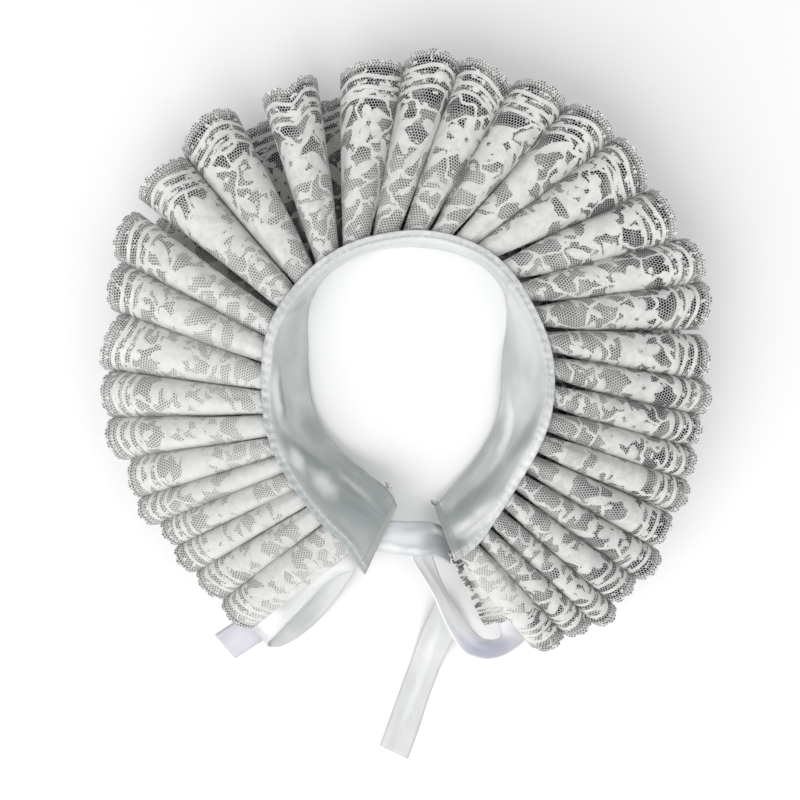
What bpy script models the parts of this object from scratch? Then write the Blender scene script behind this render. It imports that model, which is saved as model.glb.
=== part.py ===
"""Ruff collar: a lace frill in figure-of-eight flutes round an open neck, a satin neckband and a tied bow.

Plan positions are given in millimetres and degrees from the neck's centre. Degrees run from the
front opening (-Y), first towards -X, so 180 is the back of the neck. Everything is built in metres
with the resting surface at Z = 0.
"""

import math

import bmesh
import bpy
import numpy as np

# Main sizes in millimetres
WALL = 1.0  # cloth wall of every piece
SEAM_GAP = 0.3  # clearance between pieces at a seam
FLUTE_TOP = 38.0  # mid-wall height of the upper flutes at the outer edge
FLUTE_FOOT = 0.5  # mid-wall height of the lower flutes where they rest
NECK_MIDDLE = 20.0  # middle height of the gathered neck edge
NECK_RISE = 3.5  # half height of the gathered neck edge
NECK_INSET = 3.0  # neck edge of the lace, inwards of the band's outer edge
REST_FROM = 0.74  # share of the frill's width after which the lower flutes lie flat
LOWER_SHORT = 2.0  # lower flutes stop this much short of the upper ones
GATHER_SHARE = 0.38  # half width of a loop at the neck edge, in spacings
BAND_HEIGHT = 24.8  # mid-wall height of the neckband's sewn edge
BAND_WIDTH = 30.0  # cut width of the neckband
BAND_FLAT = 3.5  # sewn-down part of the band's width
BAND_BEND = 1.5  # radius of the band's bend below the seam
CENTRE = (-1.4, -17.5)  # plan centre of the whole piece, moved to the origin

# Sewn outer edge of the neckband: angle, radius, lean of the free part below level, slant of the
# section from square, which is the slanting cut of the band's two ends
NECKLINE = (
    (12.7, 81.0, 4, 29), (19.9, 73.2, 24, 18), (30.0, 68.7, 32, 6), (40.1, 65.7, 40, 0),
    (49.9, 63.6, 47, 0), (60.0, 62.2, 52, 0), (70.0, 61.0, 55, 0), (80.0, 59.6, 59, 0),
    (90.0, 58.8, 62, 0), (100.0, 59.2, 64, 0), (109.9, 59.2, 68, 0), (120.0, 58.5, 79, 0),
    (130.0, 57.9, 90, 0), (140.0, 57.8, 94, 0), (155.0, 57.4, 96, 0), (170.0, 57.0, 96, 0),
    (185.0, 57.6, 94, 0), (200.0, 58.0, 95, 0), (215.0, 58.2, 95, 0), (230.0, 57.0, 91, 0),
    (240.0, 56.2, 81, 0), (250.0, 56.4, 67, 0), (260.0, 56.9, 59, 0), (270.0, 57.3, 55, 0),
    (280.0, 57.8, 55, 0), (290.0, 58.4, 56, 0), (300.0, 58.9, 59, 0), (310.0, 59.9, 60, 0),
    (320.0, 62.5, 58, 0), (330.0, 67.1, 52, 0), (339.8, 73.3, 49, -6), (346.5, 76.0, 46, -12),
)

# Upper flutes: angle at the neck, angle at the outer edge, reach of the edge, width there in degrees
FLUTES = (
    (26.0, 35.5, 117.0, 7.4), (33.8, 43.4, 114.7, 6.9), (41.0, 50.4, 115.0, 5.9),
    (48.0, 56.4, 113.2, 5.3), (55.5, 62.2, 117.3, 5.4), (62.0, 69.2, 115.7, 6.8),
    (70.0, 77.7, 119.4, 7.3), (79.0, 86.0, 119.1, 7.8), (88.5, 96.6, 118.3, 9.3),
    (98.6, 107.0, 121.2, 8.2), (109.5, 115.8, 125.5, 8.3), (122.0, 127.9, 125.9, 10.2),
    (132.5, 140.9, 127.1, 11.2), (143.5, 156.9, 122.9, 11.4), (156.5, 172.4, 121.5, 12.0),
    (169.0, 184.0, 125.2, 9.4), (180.5, 194.2, 123.0, 9.0), (191.0, 205.0, 123.4, 9.4),
    (200.3, 215.5, 124.1, 9.3), (209.8, 226.3, 121.7, 9.4), (221.5, 237.8, 118.8, 9.4),
    (233.0, 248.0, 121.3, 8.2), (243.9, 256.4, 118.9, 7.6), (255.0, 266.8, 115.2, 8.2),
    (266.0, 274.5, 116.1, 6.4), (277.5, 281.2, 114.1, 5.9), (288.5, 287.8, 115.1, 5.9),
    (298.0, 294.2, 116.9, 6.1), (306.6, 302.0, 116.6, 6.4), (314.2, 308.6, 121.1, 6.0),
    (321.8, 315.6, 119.3, 5.8), (328.6, 321.2, 122.7, 4.9), (334.8, 326.4, 119.7, 5.1),
    (340.4, 333.0, 119.0, 6.2),
)
# The lace's last lower flute, which ends the strip on the right and lies on the bow: angle at the
# neck, angle at the outer edge, reach, width in degrees, foot height
END_FLAP = (346.0, 340.6, 108.6, 6.5, 4.4)
STRETCHES = (("lace_left_front", 0, 8), ("lace_left_back", 9, 16), ("lace_right_back", 17, 24),
             ("lace_right_front", 25, 33))
ROWS = (0.0, 0.065, 0.52, 1.0)  # shares of the frill's width with a ring of points
ARC_STEPS, FALL_STEPS = 3, 2  # steps over a loop's quarter and down its side

# Ribbons of the bow: a row per section, the left edge's x, y, z and then the right edge's
TIE_BRIDGE = (
    (-13.6, -58.6, 19.4, -15.2, -70.3, 20.0), (-7.2, -58.2, 19.2, -9.6, -71.0, 19.9),
    (-1.1, -58.6, 18.2, -3.1, -72.0, 19.2), (4.1, -58.8, 15.8, 3.3, -72.6, 17.6),
    (8.7, -59.6, 11.8, 9.0, -73.2, 13.6), (12.9, -61.7, 8.4, 13.2, -75.0, 11.0),
    (16.7, -64.5, 5.8, 16.6, -77.4, 8.5),
)
TIE_LEFT_LOOP = (
    (-29.6, -68.0, 19.5, -21.6, -77.6, 19.5), (-37.0, -71.5, 17.5, -28.1, -80.4, 17.4),
    (-44.8, -77.3, 15.0, -35.1, -85.5, 15.0), (-51.1, -83.6, 13.2, -41.3, -92.0, 13.2),
    (-58.2, -90.6, 11.5, -48.6, -99.6, 11.5), (-64.1, -96.8, 10.2, -55.1, -106.5, 10.2),
    (-66.8, -99.5, 8.2, -57.8, -109.2, 8.0), (-67.4, -100.8, 5.8, -58.6, -111.4, 5.4),
    (-65.4, -101.6, 3.7, -57.2, -112.6, 3.2), (-61.3, -101.4, 3.0, -53.3, -112.2, 2.6),
    (-54.7, -98.0, 3.2, -46.0, -108.3, 2.8), (-46.7, -92.0, 4.2, -37.6, -101.0, 3.6),
    (-40.3, -85.0, 6.2, -30.4, -92.4, 5.4), (-36.0, -78.4, 9.0, -25.2, -84.6, 8.0),
)
TIE_LEFT_TAIL = (
    (-81.3, -108.2, 0.5, -72.9, -118.0, 0.5), (-74.2, -103.6, 0.5, -65.6, -113.2, 0.5),
    (-65.0, -97.8, 0.5, -56.4, -107.4, 0.5), (-55.0, -91.1, 2.2, -46.4, -100.7, 2.0),
)
TIE_RIGHT_LOOP = (
    (-0.7, -68.9, 17.3, 7.8, -67.8, 10.8), (0.9, -74.6, 16.0, 10.1, -76.0, 8.0),
    (5.4, -81.7, 15.0, 13.4, -84.9, 5.4), (9.8, -89.4, 14.0, 17.1, -92.1, 4.0),
    (13.1, -97.3, 13.0, 21.4, -98.4, 3.1), (16.4, -104.4, 12.0, 25.4, -104.4, 2.6),
    (21.8, -112.5, 10.5, 30.4, -109.2, 1.9), (28.4, -115.4, 10.5, 33.4, -109.9, 1.5),
    (33.7, -115.6, 11.0, 35.5, -110.0, 1.4), (38.8, -114.2, 10.6, 37.6, -109.2, 1.3),
    (44.2, -111.2, 9.4, 38.4, -107.4, 1.3), (48.0, -108.3, 7.5, 38.0, -105.0, 1.5),
    (48.9, -104.3, 4.6, 36.9, -101.6, 1.6), (46.0, -96.9, 3.0, 33.6, -94.4, 1.8),
    (41.0, -89.0, 3.6, 29.0, -87.2, 2.4), (36.4, -81.2, 5.8, 24.4, -80.4, 4.6),
)
TIE_RIGHT_TAIL = (
    (11.2, -90.5, 10.5, 18.2, -105.9, 9.3), (8.0, -98.8, 5.6, 15.9, -113.1, 4.6),
    (4.6, -107.0, 1.9, 13.1, -120.4, 1.6), (0.9, -117.8, 0.5, 10.3, -128.2, 0.5),
    (-3.1, -128.6, 0.5, 6.7, -138.3, 0.5), (-6.7, -138.7, 0.5, 4.0, -147.0, 0.5),
    (-12.3, -154.3, 0.5, -0.7, -159.9, 0.5),
)


def through(xs, column, at):
    """A smooth curve through a table's column, read at the given places."""
    xs, ys, at = np.asarray(xs, float), np.asarray(column, float), np.asarray(at, float)
    slope = np.gradient(ys, xs)
    k = np.clip(np.searchsorted(xs, at) - 1, 0, len(xs) - 2)
    h = xs[k + 1] - xs[k]
    t = (at - xs[k]) / h
    return ((2 * t**3 - 3 * t**2 + 1) * ys[k] + (t**3 - 2 * t**2 + t) * h * slope[k]
            + (3 * t**2 - 2 * t**3) * ys[k + 1] + (t**3 - t**2) * h * slope[k + 1])


def polar(angle, radius):
    """Plan point of an angle in degrees from the front and a radius."""
    a = np.radians(angle)
    return np.stack([-radius * np.sin(a), -radius * np.cos(a)], axis=-1)


def seam_line(angles):
    """Points of the band's sewn edge and the unit directions towards the neck opening."""
    table = np.array(NECKLINE)
    near = [polar(angles + d, through(table[:, 0], table[:, 1], angles + d)) for d in (-0.5, 0, 0.5)]
    run = near[2] - near[0]
    run /= np.linalg.norm(run, axis=1, keepdims=True)
    return near[1], np.stack([run[:, 1], -run[:, 0]], axis=1)


def bezier(points, steps):
    """The first steps points of a cubic curve."""
    t = np.linspace(0, 1, steps, endpoint=False)[:, None]
    a, b, c, d = (np.asarray(p, float) for p in points)
    return (1 - t) ** 3 * a + 3 * (1 - t) ** 2 * t * b + 3 * (1 - t) * t**2 * c + t**3 * d


def half_wave(start, end, half_start, half_end, rise):
    """Angle and height share from one loop's middle to the next loop's, down or up one side.

    Half widths are in degrees and rise is the height share that a loop's quarter takes.
    """
    turn = 1 if start[1] > end[1] else -1
    a = (start[0] + half_start, start[1] - turn * rise)
    b = (end[0] - half_end, end[1] + turn * rise)
    fall = 0.36 * abs(a[1] - b[1]) * turn
    out = bezier((start, (start[0] + 0.55 * half_start, start[1]), (a[0], a[1] + turn * 0.45 * rise), a), ARC_STEPS)
    side = bezier((a, (a[0], a[1] - fall), (b[0], b[1] + fall), b), FALL_STEPS)
    back = bezier((b, (b[0], b[1] - turn * 0.45 * rise), (end[0] - 0.55 * half_end, end[1]), end), ARC_STEPS)
    return np.concatenate([out, side, back])


def loops():
    """All upper and lower loops in order: neck angle, edge angle, reach, half width, foot lift."""
    out = []
    for i, (neck, edge, reach, width) in enumerate(FLUTES):
        out.append((neck, edge, reach, width / 2, 0.0))
        if i + 1 < len(FLUTES):
            after = FLUTES[i + 1]
            span = after[1] - edge
            out.append(((neck + after[0]) / 2, (edge + after[1]) / 2, (reach + after[2]) / 2 - LOWER_SHORT,
                        min(0.42 * span, (span + 1.5) / 2 - 0.8), 0.0))
    neck, edge, reach, width, foot = END_FLAP
    out.append((neck, edge, reach, width / 2, foot - FLUTE_FOOT))
    return out


def frill_columns():
    """The frill as columns across its width, and the column of each lower loop's middle."""
    table, edge_line, neck_line, extra, valley = loops(), [], [], [], {}
    for k in range(len(table) - 1):
        (neck_a, edge_a, reach_a, half_a, lift_a), (neck_b, edge_b, reach_b, half_b, lift_b) = table[k:k + 2]
        top = 1 if k % 2 == 0 else -1
        quarter = math.radians((half_a + half_b) / 2) * (reach_a + reach_b) / 2
        rise = min(0.92, quarter / (FLUTE_TOP / 2))
        gather = GATHER_SHARE * (neck_b - neck_a) * 2
        at_edge = half_wave((edge_a, top), (edge_b, -top), half_a, half_b, rise)
        at_neck = half_wave((neck_a, top), (neck_b, -top), gather, gather, 0.8)
        share = np.linspace(0, 1, len(at_edge), endpoint=False)
        if k == 0:  # the strip's left end hangs down the first flute's side
            lead = half_wave((2 * edge_a - edge_b, -1), (edge_a, 1), half_b, half_a, rise)[-ARC_STEPS - 1:]
            lead_neck = half_wave((2 * neck_a - neck_b, -1), (neck_a, 1), gather, gather, 0.8)[-ARC_STEPS - 1:]
            at_edge, at_neck = np.concatenate([lead, at_edge]), np.concatenate([lead_neck, at_neck])
            share = np.concatenate([np.zeros(len(lead)), share])
        if top < 0:
            valley[k // 2] = len(np.concatenate(edge_line))
        edge_line.append(at_edge)
        neck_line.append(at_neck)
        extra.append(np.stack([reach_a + share * (reach_b - reach_a), lift_a + share**2 * (lift_b - lift_a)], axis=1))
    valley[len(FLUTES) - 1] = len(np.concatenate(edge_line))
    neck, edge, reach, width, foot = END_FLAP
    for part in (0.0, 0.45, 0.9):  # the strip's right end curls up a little from its last foot
        edge_line.append([(edge + part * width / 2, -1 + 0.12 * part)])
        neck_line.append([(neck + part * 1.2, -1 + 0.3 * part)])
        extra.append([(reach - 1.5 * part, foot - FLUTE_FOOT)])
    edge_line, neck_line, extra = (np.concatenate(a) for a in (edge_line, neck_line, extra))
    seam, inward = seam_line(neck_line[:, 0])
    neck_at = seam + NECK_INSET * inward
    edge_at = polar(edge_line[:, 0], extra[:, 0])
    columns = np.zeros((len(edge_at), len(ROWS), 3))
    for r, row in enumerate(ROWS):
        grow = max(0.0, (row - ROWS[1]) / (1 - ROWS[1]))
        rest = min(1.0, max(0.0, (row - ROWS[1]) / (REST_FROM - ROWS[1])))
        high = NECK_MIDDLE + NECK_RISE + grow * (FLUTE_TOP - NECK_MIDDLE - NECK_RISE)
        low = NECK_MIDDLE - NECK_RISE + rest * (FLUTE_FOOT - NECK_MIDDLE + NECK_RISE) + grow * extra[:, 1]
        height = neck_line[:, 1] + grow * (edge_line[:, 1] - neck_line[:, 1])
        columns[:, r, :2] = neck_at + row * (edge_at - neck_at)
        columns[:, r, 2] = (high + low) / 2 + height * (high - low) / 2
    return columns, valley


def wall_of(grid, thickness):
    """Outer and inner points of a wall about a grid of mid-wall points."""
    across = np.gradient(grid, axis=1)
    along = np.gradient(grid, axis=0)
    normal = np.cross(along, across)
    normal /= np.linalg.norm(normal, axis=2, keepdims=True)
    return grid + normal * thickness / 2, grid - normal * thickness / 2


def cloth(name, front, back, colour):
    """A closed solid between two grids of points in millimetres, nowhere below the resting surface."""
    front[:, :, 2] = np.maximum(front[:, :, 2], 0.0)
    back[:, :, 2] = np.maximum(back[:, :, 2], 0.0)
    n, m = front.shape[:2]
    bm = bmesh.new()
    shift = np.array([CENTRE[0], CENTRE[1], 0.0])
    side = [[[bm.verts.new((p - shift) * 0.001) for p in column] for column in face] for face in (front, back)]
    for i in range(n - 1):
        for j in range(m - 1):
            f, b = side
            bm.faces.new((f[i][j], f[i + 1][j], f[i + 1][j + 1], f[i][j + 1]))
            bm.faces.new((b[i][j], b[i][j + 1], b[i + 1][j + 1], b[i + 1][j]))
    for i in range(n - 1):
        for j in (0, m - 1):
            bm.faces.new((side[0][i][j], side[1][i][j], side[1][i + 1][j], side[0][i + 1][j]))
    for j in range(m - 1):
        for i in (0, n - 1):
            bm.faces.new((side[0][i][j], side[0][i][j + 1], side[1][i][j + 1], side[1][i][j]))
    bmesh.ops.recalc_face_normals(bm, faces=bm.faces)
    if bm.calc_volume(signed=True) < 0:
        bmesh.ops.reverse_faces(bm, faces=bm.faces)
    mesh = bpy.data.meshes.new(name)
    bm.to_mesh(mesh)
    bm.free()
    for polygon in mesh.polygons:
        polygon.use_smooth = True
    mesh.set_sharp_from_angle(angle=math.radians(50))
    obj = bpy.data.objects.new(name, mesh)
    collar.objects.link(obj)
    material = bpy.data.materials.new(name)
    material.use_nodes = True
    shader = material.node_tree.nodes["Principled BSDF"]
    shader.inputs["Base Color"].default_value = (*colour, 1.0)
    shader.inputs["Roughness"].default_value = 0.75
    mesh.materials.append(material)
    return obj


def lace():
    """The frill, parted at the middle of three lower flutes."""
    columns, valley = frill_columns()
    faces = wall_of(columns, WALL)
    first = 0
    for name, _, last in STRETCHES:
        stop = valley[last] if last < len(FLUTES) - 1 else len(columns) - 1
        front, back = (face[first:stop + 1].copy() for face in faces)
        for end, inner, cut in ((0, 1, first > 0), (-1, -2, last < len(FLUTES) - 1)):
            if cut:  # half the seam gap off each side
                step = columns[first:stop + 1][inner] - columns[first:stop + 1][end]
                step *= SEAM_GAP / 2 / np.linalg.norm(step, axis=1, keepdims=True)
                front[end] += step
                back[end] += step
        cloth(name, front, back, (0.86, 0.86, 0.84))
        first = stop


def neckband():
    """The band: sewn flat on the gathered edge, then bent down to its free edge."""
    table = np.array(NECKLINE)
    angles = np.concatenate([np.arange(table[0, 0], 343, 6.0), [table[-1, 0]]])
    seam, inward = seam_line(angles)
    lean = np.radians(through(table[:, 0], table[:, 2], angles))
    slant = np.radians(through(table[:, 0], table[:, 3], angles))
    inward = np.stack([inward[:, 0] * np.cos(slant) - inward[:, 1] * np.sin(slant),
                       inward[:, 0] * np.sin(slant) + inward[:, 1] * np.cos(slant)], axis=1)
    grid = []
    for at, towards, drop in zip(seam, inward, lean):
        free = BAND_WIDTH - BAND_FLAT - BAND_BEND * drop
        section = [(0.0, 0.0), (BAND_FLAT, 0.0)]
        for part in (0.5, 1.0):
            section.append((BAND_FLAT + BAND_BEND * math.sin(drop * part), -BAND_BEND * (1 - math.cos(drop * part))))
        x, z = section[-1]
        for part in (0.5, 1.0):
            section.append((x + part * free * math.cos(drop), z - part * free * math.sin(drop)))
        grid.append([(*(at + towards * u), BAND_HEIGHT + w) for u, w in section])
    cloth("neckband", *wall_of(np.array(grid), WALL), (0.88, 0.89, 0.90))


def tie(name, rows, steps):
    """One ribbon of the bow through its sections' two edges."""
    rows = np.array(rows)
    along = np.arange(len(rows))
    at = np.linspace(0, len(rows) - 1, steps)
    points = np.stack([through(along, rows[:, c], at) for c in range(6)], axis=1)
    left, right = points[:, :3], points[:, 3:]
    grid = np.stack([left, left + (right - left) / 2, right], axis=1)
    grid[:, :, 2] = np.maximum(grid[:, :, 2], WALL / 2)
    cloth(name, *wall_of(grid, WALL), (0.90, 0.91, 0.92))


for old in list(bpy.data.objects):
    bpy.data.objects.remove(old, do_unlink=True)
collar = bpy.data.collections.new("ruff_collar")
bpy.context.scene.collection.children.link(collar)

lace()
neckband()
tie("tie_bridge", TIE_BRIDGE, 13)
tie("tie_left_loop", TIE_LEFT_LOOP, 34)
tie("tie_left_tail", TIE_LEFT_TAIL, 5)
tie("tie_right_loop", TIE_RIGHT_LOOP, 34)
tie("tie_right_tail", TIE_RIGHT_TAIL, 7)
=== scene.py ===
"""Looks of the ruff collar: lace frill, satin neckband and bow, on a pale floor under soft light.

Plan positions are in millimetres and degrees from the neck's centre, as in the part's source. Degrees
run from the front opening (-Y), first towards -X. Pieces are thin shells on the forms of their solids.
"""

import math

import bpy
import numpy as np
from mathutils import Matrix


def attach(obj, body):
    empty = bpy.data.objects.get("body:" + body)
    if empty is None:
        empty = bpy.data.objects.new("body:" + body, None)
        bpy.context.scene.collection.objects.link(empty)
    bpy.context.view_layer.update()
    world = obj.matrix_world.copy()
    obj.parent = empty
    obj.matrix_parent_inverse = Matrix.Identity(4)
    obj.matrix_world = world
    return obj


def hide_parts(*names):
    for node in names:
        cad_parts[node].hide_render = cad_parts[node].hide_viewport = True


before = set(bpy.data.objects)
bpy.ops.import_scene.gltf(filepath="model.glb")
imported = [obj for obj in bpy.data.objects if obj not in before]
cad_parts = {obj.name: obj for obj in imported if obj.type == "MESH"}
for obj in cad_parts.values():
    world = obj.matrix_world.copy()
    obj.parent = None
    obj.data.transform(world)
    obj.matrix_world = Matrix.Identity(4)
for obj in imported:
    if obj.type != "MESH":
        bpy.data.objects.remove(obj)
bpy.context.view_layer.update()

M = 0.001  # metres in a millimetre
CENTRE = (-1.4, -17.5)  # the middle of the part's box, from the neck's centre
FLUTE_TOP = 38.0
FLUTE_FOOT = 0.5
NECK_MIDDLE = 20.0  # height of the lace's neck edge, and how far it rises and falls there
NECK_RISE = 3.5
NECK_INSET = 3.0  # how far the lace runs in under the band
SEWN_PART = 0.065  # share of the lace's width that lies flat under the band
REST_FROM = 0.74  # share of its width from where the lower loops rest on the floor
LOWER_SHORT = 2.0
EDGE_SHORT = 1.3  # the picots stand past the cloth's edge
# Half width of a loop at the neck edge, in spacings, by angle; and a little further out, where most of them touch
GATHERED = ((0, 0.47), (96, 0.47), (104, 0.42), (116, 0.41), (124, 0.44), (135, 0.43), (200, 0.42), (214, 0.36),
            (300, 0.37), (330, 0.41), (360, 0.44))
MEETING = ((0, 0.5), (96, 0.498), (99, 0.43), (105, 0.42), (109, 0.36), (121, 0.36), (123, 0.45), (130, 0.495),
           (360, 0.5))
APART = ((11, 10), (12, 13), (13, 12), (13, 14), (14, 13))  # flutes that stand apart from a neighbour at the edge
NECK_DEEP = 4.5  # the lower loops hang this much deeper at the neck than their solids
BAND_HEIGHT = 24.8
BAND_WIDTH = 30.0
BAND_FLAT = 3.5  # the sewn strip lies level, then the band bends down round this radius
BAND_BEND = 1.5
STITCH_LINE = 3.1  # the stitching's distance from the band's edge
HEM_FOLDS = (4.0, 356.4)  # the hems' folds along the band
LACE_WIDTH = 68.0  # length of the pattern across the lace
LACE_THICK, PICOT_THICK = 0.30, 0.36
SATIN_THICK = 0.40
ARC_STEPS, FALL_STEPS = 8, 7  # points on the rounding and on the side of a loop
LACE_ROWS, TIE_COLUMNS = 46, 13
BAND_COLUMNS, EASE_REACH = 420, 9
PICOT_STEP = 0.33  # spacing of the points along the scalloped edge
LOOP_WIDE = 0.68  # how round a loop's crest is
SWELL_SHARE, SWELL_MOST = 0.497, 0.10  # share of the gap that a flute swells by, at most a share of its width

# The neck's seam: angle, radius, the band's lean below level, its slant off the seam's normal
NECKLINE = (
    (12.7, 81.0, 4, 29), (19.9, 73.2, 24, 18), (30.0, 68.7, 32, 6), (40.1, 65.7, 40, 0),
    (49.9, 63.6, 47, 0), (60.0, 62.2, 52, 0), (70.0, 61.0, 55, 0), (80.0, 59.6, 59, 0),
    (90.0, 58.8, 62, 0), (100.0, 59.2, 64, 0), (109.9, 59.2, 68, 0), (120.0, 58.5, 79, 0),
    (130.0, 57.9, 90, 0), (140.0, 57.8, 94, 0), (155.0, 57.4, 96, 0), (170.0, 57.0, 96, 0),
    (185.0, 57.6, 94, 0), (200.0, 58.0, 95, 0), (215.0, 58.2, 95, 0), (230.0, 57.0, 91, 0),
    (240.0, 56.2, 81, 0), (250.0, 56.4, 67, 0), (260.0, 56.9, 59, 0), (270.0, 57.3, 55, 0),
    (280.0, 57.8, 55, 0), (290.0, 58.4, 56, 0), (300.0, 58.9, 59, 0), (310.0, 59.9, 60, 0),
    (320.0, 62.5, 58, 0), (330.0, 67.1, 52, 0), (339.8, 73.3, 49, -6), (346.5, 76.0, 46, -12),
)
# Upper flutes: angle at the neck, angle at the edge, reach, width at the edge in degrees
FLUTES = (
    (26.0, 35.5, 117.0, 7.4), (33.8, 43.4, 114.7, 6.9), (41.0, 50.4, 115.0, 5.9),
    (48.0, 56.4, 113.2, 5.3), (55.5, 62.2, 117.3, 5.4), (62.0, 69.2, 115.7, 6.8),
    (70.0, 77.7, 119.4, 7.3), (79.0, 86.0, 119.1, 7.8), (88.5, 96.6, 118.3, 9.3),
    (98.6, 107.0, 121.2, 8.2), (109.5, 115.8, 125.5, 8.3), (122.0, 127.9, 125.9, 10.2),
    (132.5, 140.9, 127.1, 11.2), (143.5, 156.9, 122.9, 11.4), (156.5, 172.4, 121.5, 12.0),
    (169.0, 184.0, 125.2, 9.4), (180.5, 194.2, 123.0, 9.0), (191.0, 205.0, 123.4, 9.4),
    (200.3, 215.5, 124.1, 9.3), (209.8, 226.3, 121.7, 9.4), (221.5, 237.8, 118.8, 9.4),
    (233.0, 248.0, 121.3, 8.2), (243.9, 256.4, 118.9, 7.6), (255.0, 266.8, 115.2, 8.2),
    (266.0, 274.5, 116.1, 6.4), (277.5, 281.2, 114.1, 5.9), (288.5, 287.8, 115.1, 5.9),
    (298.0, 294.2, 116.9, 6.1), (306.6, 302.0, 116.6, 6.4), (314.2, 308.6, 121.1, 6.0),
    (321.8, 315.6, 119.3, 5.8), (328.6, 321.2, 122.7, 4.9), (334.8, 326.4, 119.7, 5.1),
    (340.4, 333.0, 119.0, 6.2),
)
# Tips that differ: how far the side towards the next flute stands out, rounding, notch at the middle
TIPS = {5: (-1.5, 3.0, 0.0), 8: (-2.5, 0.8, 0.0), 10: (0.5, 1.8, 0.0), 11: (-2.0, 1.2, 0.0), 13: (0.5, 0.4, 3.5),
        14: (0.0, 1.2, 0.0), 16: (-2.5, 2.0, 0.0), 19: (-2.5, 2.0, 0.0), 20: (-1.5, 2.5, 0.0), 22: (-2.0, 2.0, 0.0)}
PLAIN_TIP = (0.0, 3.0, 0.0)
END_FLAP = (346.0, 340.6, 108.6, 6.5, 4.4)  # neck angle, edge angle, reach, width, height of its foot
# Nodes of the lace with the last of their flutes
STRETCHES = (("lace_left_front", 8), ("lace_left_back", 16), ("lace_right_back", 24), ("lace_right_front", 33))
# Soft troughs and ridges down the flutes: flute, place across it, from and to as shares of the width, width and
# depth in millimetres
LACE_FOLDS = (
    (0, -0.4, 0.08, 0.55, 1.5, -0.7), (0, 0.5, 0.30, 0.80, 1.8, 0.5), (1, 0.2, 0.05, 0.42, 1.3, -0.8),
    (2, -0.5, 0.12, 0.66, 1.4, -0.6), (2, 0.4, 0.05, 0.33, 1.1, 0.6), (3, 0.1, 0.06, 0.48, 1.3, -0.7),
    (4, -0.3, 0.40, 0.86, 2.0, -0.6), (4, 0.5, 0.06, 0.36, 1.2, -0.7), (5, -0.1, 0.05, 0.50, 1.4, -0.8),
    (6, 0.5, 0.10, 0.58, 1.6, -0.8), (6, -0.5, 0.42, 0.92, 2.4, -0.5), (7, 0.1, 0.06, 0.38, 1.3, -0.8),
    (7, -0.5, 0.50, 0.95, 2.2, -0.7), (8, 0.4, 0.05, 0.62, 1.7, -0.9), (8, -0.2, 0.36, 0.90, 2.6, 0.6),
    (9, -0.3, 0.06, 0.44, 1.5, -0.9), (9, 0.5, 0.55, 1.00, 2.4, -0.8), (10, 0.3, 0.08, 0.70, 1.8, -0.8),
    (10, -0.5, 0.05, 0.35, 1.3, 0.8), (11, 0.0, 0.06, 0.52, 2.0, -1.0), (11, 0.6, 0.50, 0.98, 2.6, -0.9),
    (12, -0.4, 0.05, 0.60, 1.9, -1.0), (12, 0.4, 0.30, 0.85, 2.8, 0.8), (13, 0.2, 0.08, 0.46, 1.8, -0.9),
    (13, 0.0, 0.62, 1.00, 2.4, -1.3), (14, -0.5, 0.20, 0.95, 2.4, -0.9), (14, 0.4, 0.05, 0.48, 1.8, -0.9),
    (15, 0.1, 0.05, 0.40, 1.7, -0.9), (15, -0.5, 0.45, 0.96, 2.2, -0.7), (16, 0.5, 0.10, 0.68, 1.8, -0.9),
    (16, -0.2, 0.52, 1.00, 2.2, 0.8), (17, -0.4, 0.06, 0.50, 1.6, -0.9), (17, 0.4, 0.48, 0.92, 2.2, -0.7),
    (18, 0.2, 0.05, 0.42, 1.6, -0.8), (18, -0.5, 0.35, 0.88, 2.0, -0.7), (19, 0.5, 0.12, 0.74, 2.0, -0.9),
    (19, -0.3, 0.05, 0.38, 1.5, 0.7), (20, 0.0, 0.06, 0.55, 1.8, -0.9), (20, -0.6, 0.55, 1.00, 2.4, -0.8),
    (21, 0.3, 0.05, 0.45, 1.5, -0.8), (21, -0.4, 0.40, 0.86, 2.0, -0.7), (22, -0.1, 0.10, 0.60, 1.6, -0.8),
    (23, 0.4, 0.06, 0.52, 1.5, -0.8), (23, -0.4, 0.45, 0.95, 2.0, 0.6), (24, 0.0, 0.05, 0.40, 1.3, -0.8),
    (25, -0.4, 0.14, 0.70, 1.5, -0.7), (26, 0.3, 0.05, 0.44, 1.3, -0.7), (27, -0.2, 0.08, 0.62, 1.5, -0.7),
    (27, 0.5, 0.50, 0.94, 1.9, -0.6), (28, 0.2, 0.05, 0.38, 1.3, -0.7), (29, -0.4, 0.10, 0.66, 1.5, -0.7),
    (30, 0.3, 0.06, 0.50, 1.4, -0.7), (31, -0.1, 0.05, 0.42, 1.2, -0.7), (31, 0.4, 0.48, 0.90, 1.8, -0.5),
    (32, 0.2, 0.08, 0.58, 1.3, -0.7), (33, -0.3, 0.05, 0.48, 1.4, -0.7), (33, 0.4, 0.35, 0.92, 2.0, 0.6),
)
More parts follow.
